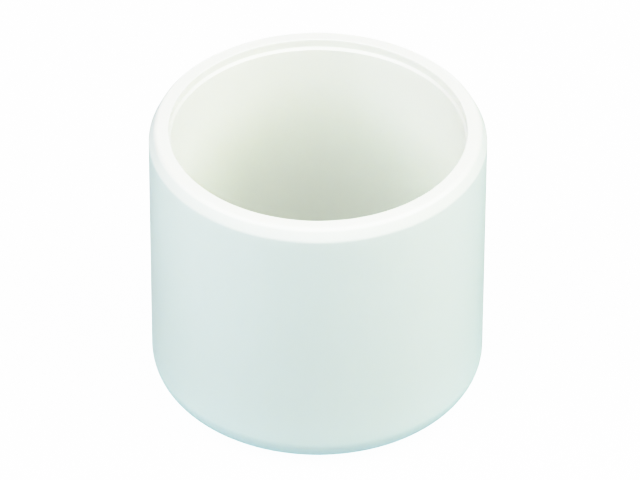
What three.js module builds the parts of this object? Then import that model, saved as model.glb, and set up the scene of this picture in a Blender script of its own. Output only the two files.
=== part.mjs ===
// Plain slip (solvent-weld) pipe cap, a single injection moulding in white rigid PVC.
// Millimetres, +Z up. The closed end stands on z = 0 and the mouth opens upwards.
// The origin is the centre of the closed end, on the axis of the socket.
import * as THREE from 'three';
import { mergeVertices } from 'three/addons/utils/BufferGeometryUtils.js';

// ---- outside ---------------------------------------------------------------
// Diameters and heights are taken to the sharp corners, before rounding.
const HEIGHT = 61.8;           // closed end to the face of the mouth
const OUTER_D = 70.0;          // at the crease under the rim band
const BASE_D = 69.2;           // at the closed end, smaller for mould draft
const BASE_EDGE_R = 6.3;       // edge radius round the closed end

const RIM_BAND_H = 2.6;        // height of the tapered band round the outside of the mouth
const RIM_BAND_LEAN = 1.25;    // how far that band leans inwards at the top
const CREASE_R = 1.8;          // soft bend between the wall and that band
const RIM_EDGE_R = 1.3;        // rounded edge between the band and the face of the mouth

// ---- inside ----------------------------------------------------------------
const SOCKET_MOUTH_D = 60.7;   // socket diameter under the lead-in, for 60.3 mm pipe
const SOCKET_FLOOR_D = 60.1;   // socket diameter at the floor: the socket tapers
const FLOOR_T = 5.0;           // thickness of the closed end
const FLOOR_FILLET_R = 2.4;    // inside corner between the socket wall and the floor

const LEDGE_W = 0.5;           // lead-in ledge at the foot of the relief, at 45 degrees
const RELIEF_D = SOCKET_MOUTH_D + 2 * LEDGE_W;   // straight-walled relief inside the mouth
const RELIEF_DEPTH = 1.85;     // face of the mouth to the top of the ledge
const RELIEF_EDGE_R = 0.2;     // edge between the face of the mouth and the relief

const SEGMENTS = 96;           // facets round the axis

// ---- section ---------------------------------------------------------------
// The section starts on the axis at the closed end, climbs the outside, crosses the
// face of the mouth, and runs down the socket to the axis.
const reliefFootZ = HEIGHT - RELIEF_DEPTH;

// Each corner is [distance from axis, z, rounding radius, facets across the rounding].
// A corner without the last two is sharp.
const CORNERS = [
  [0, 0],
  [BASE_D / 2, 0, BASE_EDGE_R, 8],                             // closed end into the wall
  [OUTER_D / 2, HEIGHT - RIM_BAND_H, CREASE_R, 2],             // crease under the rim band
  [OUTER_D / 2 - RIM_BAND_LEAN, HEIGHT, RIM_EDGE_R, 5],        // band into the mouth face
  [RELIEF_D / 2, HEIGHT, RELIEF_EDGE_R, 2],                    // mouth face into the relief
  [RELIEF_D / 2, reliefFootZ],                                 // foot of the relief
  [SOCKET_MOUTH_D / 2, reliefFootZ - LEDGE_W],                 // start of the tapered socket
  [SOCKET_FLOOR_D / 2, FLOOR_T, FLOOR_FILLET_R, 5],            // socket wall into the floor
  [0, FLOOR_T],
];

// Points along a tangent arc that replaces the sharp corner between two neighbours.
function cornerArc(corner, previous, next, radius, facets) {
  const toPrevious = previous.clone().sub(corner).normalize();
  const toNext = next.clone().sub(corner).normalize();
  const halfAngle = Math.acos(toPrevious.dot(toNext)) / 2;
  const tangentLength = radius / Math.tan(halfAngle);
  const bisector = toPrevious.clone().add(toNext).normalize();
  const centre = corner.clone().addScaledVector(bisector, radius / Math.sin(halfAngle));

  const start = corner.clone().addScaledVector(toPrevious, tangentLength);
  // The arc bends the same way as the path does at the corner.
  const sweep = Math.sign(toNext.cross(toPrevious)) * (Math.PI - 2 * halfAngle);
  return Array.from({ length: facets + 1 }, (_, i) =>
    start.clone().rotateAround(centre, sweep * i / facets));
}

function roundedSection(corners) {
  const points = corners.map(([x, z]) => new THREE.Vector2(x, z));
  return corners.flatMap(([, , radius, facets], i) =>
    radius ? cornerArc(points[i], points[i - 1], points[i + 1], radius, facets) : [points[i]]);
}

// ---- the one moulding ------------------------------------------------------
function capGeometry() {
  const lathed = new THREE.LatheGeometry(roundedSection(CORNERS), SEGMENTS);
  lathed.rotateX(Math.PI / 2);   // the lathe turns about Y, and the cap stands along Z

  // Only positions are kept, so that vertices along the lathe's seam can merge.
  lathed.deleteAttribute('normal');
  lathed.deleteAttribute('uv');
  const welded = mergeVertices(lathed, 1e-4);
  welded.computeVertexNormals();
  return welded;
}

function whitePvc() {
  return new THREE.MeshStandardMaterial({
    color: 0xeef1ee,
    roughness: 0.38,
    metalness: 0.0,
  });
}

const cap = new THREE.Mesh(capGeometry(), whitePvc());
cap.name = 'cap_body';

const group = new THREE.Group();
group.add(cap);

export default group;
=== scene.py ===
"""Looks for a plain white slip pipe cap: one moulding, turned about a vertical axis.

The closed end lies on the floor and the mouth faces up (+Z). The camera looks from -Y, above.
"""

import math

import bpy
from mathutils import Matrix, Vector


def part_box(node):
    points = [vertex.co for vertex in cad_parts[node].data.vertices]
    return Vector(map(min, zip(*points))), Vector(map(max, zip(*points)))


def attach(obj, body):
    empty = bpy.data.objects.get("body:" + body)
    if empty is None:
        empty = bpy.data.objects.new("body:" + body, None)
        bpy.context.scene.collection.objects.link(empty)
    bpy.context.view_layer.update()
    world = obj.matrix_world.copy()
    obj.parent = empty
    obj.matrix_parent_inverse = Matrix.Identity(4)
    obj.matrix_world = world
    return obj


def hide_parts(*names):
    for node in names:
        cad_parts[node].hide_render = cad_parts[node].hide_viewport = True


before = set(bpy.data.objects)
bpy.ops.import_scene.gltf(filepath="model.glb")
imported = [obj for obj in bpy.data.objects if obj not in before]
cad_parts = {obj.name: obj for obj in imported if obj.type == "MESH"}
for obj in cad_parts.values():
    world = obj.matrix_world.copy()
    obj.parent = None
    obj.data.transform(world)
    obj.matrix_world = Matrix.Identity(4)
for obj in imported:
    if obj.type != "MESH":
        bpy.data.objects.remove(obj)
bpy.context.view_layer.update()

MM = 0.001

# From the frame: the axis, the two ends and the outside radius at the crease.
box_low, box_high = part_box("cap_body")
CREASE_R = (box_high[0] - box_low[0]) / 2
BASE_Z, MOUTH_Z = box_low[2], box_high[2]
AXIS_X = (box_low[0] + box_high[0]) / 2
AXIS_Y = (box_low[1] + box_high[1]) / 2
CENTRE = Vector((AXIS_X, AXIS_Y, (BASE_Z + MOUTH_Z) / 2))

# Outside: the wall widens up to a crease, then a band leans in to the mouth.
BASE_R = CREASE_R - 0.40 * MM
BAND_HEIGHT = 2.60 * MM
BAND_LEAN = 1.25 * MM

# Inside: a slightly tapered bore, with a wider relief and a sloping ledge at the mouth.
BORE_R = 30.35 * MM
BORE_FLOOR_R = 30.05 * MM
LEDGE = 0.50 * MM                  # width and height of the 45 degree ledge
RELIEF_R = BORE_R + LEDGE
RELIEF_DEPTH = 1.85 * MM
FLOOR_THICKNESS = 5.0 * MM

# Under the closed end: a sheared gate in the middle of a shallow dimple.
GATE_R = 1.30 * MM
GATE_INSET = 0.10 * MM             # the gate stops just short of flush
GATE_FOOT_R = 1.62 * MM
DIMPLE_FLAT_R = 3.70 * MM
DIMPLE_RIM_R = 4.70 * MM
DIMPLE_DEPTH = 0.40 * MM

LONGEST_STEP = 1.6 * MM            # longest edge along the section
SEGMENTS = 288                     # divisions round the axis


# ---- shared helpers -----------------------------------------------------------------------
def add_object(name, data):
    made = bpy.data.objects.new(name, data)
    bpy.context.scene.collection.objects.link(made)
    return made


def empty_tree(owner):
    """Turn on the nodes of a material or world and clear them."""
    owner.use_nodes = True
    owner.node_tree.nodes.clear()
    return owner.node_tree


def add_node(tree, kind, inputs=None, **settings):
    """Add a shader node. Each input is given a value or a socket to link from."""
    node = tree.nodes.new("ShaderNode" + kind)
    for name, value in settings.items():
        setattr(node, name, value)
    for key, value in (inputs or {}).items():
        if isinstance(value, bpy.types.NodeSocket):
            tree.links.new(value, node.inputs[key])
        else:
            node.inputs[key].default_value = value
    return node


def direction(elevation, azimuth):
    """Unit vector from the part, for angles in degrees. Azimuth 0 is -Y and 90 is +X."""
    up, around = math.radians(elevation), math.radians(azimuth)
    return Vector((
        math.sin(around) * math.cos(up),
        -math.cos(around) * math.cos(up),
        math.sin(up),
    ))


def aimed_at_part(outward, distance):
    """Placement at a distance from the part's centre, facing back towards it."""
    turn = outward.to_track_quat("Z", "Y").to_matrix().to_4x4()
    return Matrix.Translation(CENTRE + outward * distance) @ turn


# ---- the section --------------------------------------------------------------------------
def rounded_corner(before, at, after, radius, steps):
    """Points along an arc that rounds the corner `at`."""
    before, at, after = Vector(before), Vector(at), Vector(after)
    to_before, to_after = (before - at).normalized(), (after - at).normalized()
    half = math.acos(to_before.dot(to_after)) / 2
    # A corner may use up to 0.6 of the straight on either side, so a large radius is cut down.
    cut = min(
        radius / math.tan(half),
        (before - at).length * 0.6,
        (after - at).length * 0.6,
    )
    radius = cut * math.tan(half)
    centre = at + (to_before + to_after).normalized() * (radius / math.sin(half))
    start = at + to_before * cut - centre
    end = at + to_after * cut - centre
    sweep = start.angle(end)
    if start.x * end.y - start.y * end.x <= 0:
        sweep = -sweep
    arc = []
    for i in range(steps + 1):
        angle = sweep * i / steps
        cos, sin = math.cos(angle), math.sin(angle)
        arc.append((
            centre.x + start.x * cos - start.y * sin,
            centre.y + start.x * sin + start.y * cos,
        ))
    return arc


def split_long_edges(points, longest):
    result = [points[0]]
    for a, b in zip(points, points[1:]):
        parts = max(1, math.ceil(math.dist(a, b) / longest))
        for i in range(1, parts + 1):
            result.append((a[0] + (b[0] - a[0]) * i / parts, a[1] + (b[1] - a[1]) * i / parts))
    return result


def cap_section():
    """(radius, z) from the axis below, up the outside, over the mouth and in along the floor."""
    dimple_z = BASE_Z + DIMPLE_DEPTH
    ledge_z = MOUTH_Z - RELIEF_DEPTH
    floor_z = BASE_Z + FLOOR_THICKNESS
    start = (0.0, BASE_Z + GATE_INSET)
    end = (0.0, floor_z)
    corners = [
        # radius, z, corner radius, steps in the arc
        (GATE_R, BASE_Z + GATE_INSET, 0.18 * MM, 4),
        (GATE_FOOT_R, dimple_z, 0.12 * MM, 3),
        (DIMPLE_FLAT_R, dimple_z, 0.40 * MM, 5),
        (DIMPLE_RIM_R, BASE_Z, 0.50 * MM, 5),
        (BASE_R, BASE_Z, 6.30 * MM, 22),
        (CREASE_R, MOUTH_Z - BAND_HEIGHT, 1.8 * MM, 8),
        (CREASE_R - BAND_LEAN, MOUTH_Z, 1.3 * MM, 16),
        (RELIEF_R, MOUTH_Z, 0.20 * MM, 6),
        (RELIEF_R, ledge_z, 0.12 * MM, 4),
        (BORE_R, ledge_z - LEDGE, 0.12 * MM, 4),
        (BORE_FLOOR_R, floor_z, 2.4 * MM, 12),
    ]
    sharp = [start] + [corner[:2] for corner in corners] + [end]
    points = [start]
    for before, (r, z, radius, steps), after in zip(sharp, corners, sharp[2:]):
        points += rounded_corner(before, (r, z), after, radius, steps)
    points.append(end)
    return split_long_edges(points, LONGEST_STEP)


def revolve(name, section, segments):
    """Turn a section, whose two ends lie on the axis, into a smooth closed surface."""
    (_, first_z), *rings, (_, last_z) = section
    verts = [(AXIS_X, AXIS_Y, first_z)]
    for radius, z in rings:
        for j in range(segments):
            angle = 2 * math.pi * j / segments
            x = AXIS_X + radius * math.cos(angle)
            y = AXIS_Y + radius * math.sin(angle)
            verts.append((x, y, z))
    last = len(verts)
    verts.append((AXIS_X, AXIS_Y, last_z))

    sides = [(j, (j + 1) % segments) for j in range(segments)]
    starts = range(1, last, segments)              # first vertex of each ring
    faces = [(0, 1 + after, 1 + j) for j, after in sides]
    for a, b in zip(starts, starts[1:]):
        faces += [(a + j, a + after, b + after, b + j) for j, after in sides]
    faces += [(last, starts[-1] + j, starts[-1] + after) for j, after in sides]

    mesh = bpy.data.meshes.new(name)
    mesh.from_pydata(verts, [], faces)
    for face in mesh.polygons:
        face.use_smooth = True
    mesh.update()
    return add_object(name, mesh)


# ---- white rigid PVC ----------------------------------------------------------------------
def pvc_material():
    material = bpy.data.materials.new("moulded_white_pvc")
    tree = empty_tree(material)
    coords = add_node(tree, "TexCoord").outputs["Object"]

    def noise(scale, detail, roughness=0.5, stretch=(1, 1, 1)):
        mapping = add_node(tree, "Mapping", {"Vector": coords, "Scale": stretch})
        return add_node(tree, "TexNoise", {
            "Vector": mapping.outputs[0],
            "Scale": scale,
            "Detail": detail,
            "Roughness": roughness,
        }).outputs["Fac"]

    def remap(value, source, target):
        return add_node(tree, "MapRange", {
            "Value": value,
            "From Min": source[0], "From Max": source[1],
            "To Min": target[0], "To Max": target[1],
        }).outputs[0]

    def maths(operation, a, b):
        return add_node(tree, "Math", {0: a, 1: b}, operation=operation).outputs[0]

    # Colour: an off-white that drifts a little with the flow of the melt.
    cloud = noise(scale=45, detail=4, roughness=0.55, stretch=(1, 1, 0.45))
    colour = add_node(tree, "Mix", {
        "A": (0.863, 0.885, 0.840, 1),
        "B": (0.879, 0.899, 0.860, 1),
        "Factor": remap(cloud, source=(0.3, 0.7), target=(0, 1)),
    }, data_type="RGBA").outputs["Result"]

    # Roughness: satin, a little glossier where handling has rubbed it.
    rub = noise(scale=90, detail=5, roughness=0.6)
    fine = noise(scale=1400, detail=2)
    roughness = maths(
        "ADD",
        remap(rub, source=(0.35, 0.7), target=(0.40, 0.50)),
        remap(fine, source=(0.3, 0.7), target=(-0.03, 0.03)),
    )

    # Relief: orange-peel, fine tool texture and faint draw lines along the axis.
    peel = maths("MULTIPLY", noise(scale=260, detail=2, roughness=0.45), 0.5)
    grain = maths("MULTIPLY", noise(scale=2600, detail=2), 0.18)
    draw_lines = maths("MULTIPLY", noise(scale=520, detail=3, stretch=(1, 1, 0.02)), 0.22)
    bump = add_node(tree, "Bump", {
        "Strength": 0.12,
        "Distance": 0.06 * MM,
        "Height": maths("ADD", maths("ADD", peel, grain), draw_lines),
    })

    surface = add_node(tree, "BsdfPrincipled", {
        "Base Color": colour,
        "Roughness": roughness,
        "Normal": bump.outputs[0],
        "IOR": 1.53,
        "Subsurface Weight": 0.22,
        "Subsurface Radius": (1.0, 0.95, 0.80),
        "Subsurface Scale": 1.6 * MM,
    })
    add_node(tree, "OutputMaterial", {"Surface": surface.outputs[0]})
    return material


material = pvc_material()
cap = revolve("cap_moulding", cap_section(), SEGMENTS)
cap.data.materials.append(material)
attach(cap, "root")
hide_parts("cap_body")


# ---- floor --------------------------------------------------------------------------------
# A lit pale table. To the camera it is an even near-white with a slight contact shadow.
# To the part it gives a duller bounce, an even glow and a little more glow round the foot.
FLOOR_SIZE = 6.0
FLOOR_GAP = 0.05 * MM              # clearance under the closed end
FLOOR_BOUNCE = (0.12, 0.15, 0.15)
FLOOR_GLOW = (0.228, 0.344, 0.365)
FOOT_GLOW = (0.180, 0.255, 0.295)
FOOT_GLOW_FULL_R = 32 * MM         # full strength inside this radius
FOOT_GLOW_END_R = 55 * MM          # none beyond this one
SEEN_GLOW = (1.20, 1.20, 1.20)
SEEN_BOUNCE = (0.45, 0.45, 0.45)   # the part of the seen floor that takes shadow


def floor_material(name, z):
    material = bpy.data.materials.new(name)
    tree = empty_tree(material)

    def glow(rgb, **inputs):
        return add_node(tree, "Emission", {"Color": (*rgb, 1), **inputs}).outputs[0]

    def matte(rgb):
        return add_node(tree, "BsdfDiffuse", {"Color": (*rgb, 1)}).outputs[0]

    def add(a, b):
        return add_node(tree, "AddShader", {0: a, 1: b}).outputs[0]

    position = add_node(tree, "NewGeometry").outputs["Position"]
    from_axis = add_node(
        tree, "VectorMath", {0: position, 1: (AXIS_X, AXIS_Y, z)}, operation="DISTANCE")
    near_foot = add_node(tree, "MapRange", {
        "Value": from_axis.outputs["Value"],
        "From Min": FOOT_GLOW_FULL_R, "From Max": FOOT_GLOW_END_R,
        "To Min": 1.0, "To Max": 0.0,
    }, interpolation_type="SMOOTHSTEP").outputs[0]

    to_part = add(
        add(matte(FLOOR_BOUNCE), glow(FLOOR_GLOW)),
        glow(FOOT_GLOW, Strength=near_foot),
    )
    to_camera = add(matte(SEEN_BOUNCE), glow(SEEN_GLOW))
    is_camera = add_node(tree, "LightPath").outputs["Is Camera Ray"]
    pick = add_node(tree, "MixShader", {0: is_camera, 1: to_part, 2: to_camera})
    add_node(tree, "OutputMaterial", {"Surface": pick.outputs[0]})
    return material


def lit_table(name, size, z):
    half = size / 2
    signs = [(-1, -1), (1, -1), (1, 1), (-1, 1)]
    verts = [(AXIS_X + x * half, AXIS_Y + y * half, z) for x, y in signs]
    mesh = bpy.data.meshes.new(name)
    mesh.from_pydata(verts, [], [(0, 1, 2, 3)])
    mesh.materials.append(floor_material(name, z))
    return add_object(name, mesh)


lit_table("floor", FLOOR_SIZE, BASE_Z - FLOOR_GAP)


# ---- lights -------------------------------------------------------------------------------
# The last softbox is a low, narrow strip behind, which lights the back of the wall and only
# grazes the mouth.
SOFTBOX_DISTANCE = 0.5
SOFTBOXES = [
    # name, elevation, azimuth, (width, height) in metres, (red, green, blue) in watts
    ("side_right", 45, 90, (0.5, 0.5), (1.110, 1.070, 1.266)),
    ("front_right", 45, 67, (0.5, 0.5), (1.921, 1.994, 1.647)),
    ("side_left", 45, 270, (0.5, 0.5), (0.360, 0.051, 0.115)),
    ("front_left", 45, 293, (0.5, 0.5), (2.229, 2.537, 2.520)),
    ("front_low", 14, 0, (0.5, 0.5), (0.870, 0.774, 0.861)),
    ("back_low", 6, 180, (0.3, 0.09), (1.050, 1.050, 1.080)),
]
for name, elevation, azimuth, (width, height), watts in SOFTBOXES:
    light = bpy.data.lights.new(name, "AREA")
    light.shape = "RECTANGLE"
    light.size = width
    light.size_y = height
    light.energy = max(watts)
    light.color = tuple(channel / max(watts) for channel in watts)
    softbox = add_object(name, light)
    softbox.matrix_world = aimed_at_part(direction(elevation, azimuth), SOFTBOX_DISTANCE)


def studio_world():
    """A room that is dark to the part and pale to the camera."""
    world = bpy.data.worlds.new("studio")
    tree = empty_tree(world)
    background = add_node(tree, "Background", {
        "Color": (1.6, 1.6, 1.6, 1),
        "Strength": add_node(tree, "LightPath").outputs["Is Camera Ray"],
    })
    add_node(tree, "OutputWorld", {"Surface": background.outputs[0]})
    return world


scene = bpy.context.scene
scene.world = studio_world()


# ---- camera -------------------------------------------------------------------------------
CAMERA_ELEVATION = 37.901          # degrees
CAMERA_ROLL = 0.200                # degrees
CAMERA_DISTANCE = 60 * CREASE_R
VIEW_WIDTH = 133.2223147 * MM      # width of the view at the part's centre

lens = bpy.data.cameras.new("camera")
lens.sensor_fit = "HORIZONTAL"
lens.sensor_width = 36.0
lens.lens = lens.sensor_width * CAMERA_DISTANCE / VIEW_WIDTH
lens.shift_x = 0.003734375
lens.shift_y = 0.011078125
lens.clip_end = 50.0
camera = add_object("camera", lens)
camera.matrix_world = (
    aimed_at_part(direction(CAMERA_ELEVATION, 0), CAMERA_DISTANCE)
    @ Matrix.Rotation(math.radians(CAMERA_ROLL), 4, "Z")
)
scene.camera = camera


# ---- tone ---------------------------------------------------------------------------------
def roll_off_highlights(view, start, top):
    """Compress tones from `start` to `top`, so white plastic on a white floor keeps its tones."""
    def tone(x):
        if x <= start:
            return x
        return start + (1 - start) * (1 - math.exp(-(x - start) / (1 - start)))

    view.use_curve_mapping = True
    mapping = view.curve_mapping
    mapping.white_level = (top, top, top)
    curve = mapping.curves[3]                      # the combined curve
    # Fourteen points above `start`, closer together near it.
    levels = [0.0, start * 0.5, start]
    levels += [start + (top - start) * (i / 14) ** 1.6 for i in range(1, 15)]
    while len(curve.points) < len(levels):
        curve.points.new(0.5, 0.5)
    for point, level in zip(curve.points, levels):
        point.location = (level / top, tone(level))
        point.handle_type = "AUTO"
    mapping.update()


scene.view_settings.view_transform = "Standard"
scene.view_settings.look = "None"
scene.view_settings.exposure = 0.0
roll_off_highlights(scene.view_settings, start=0.72, top=2.5)

bpy.context.view_layer.update()
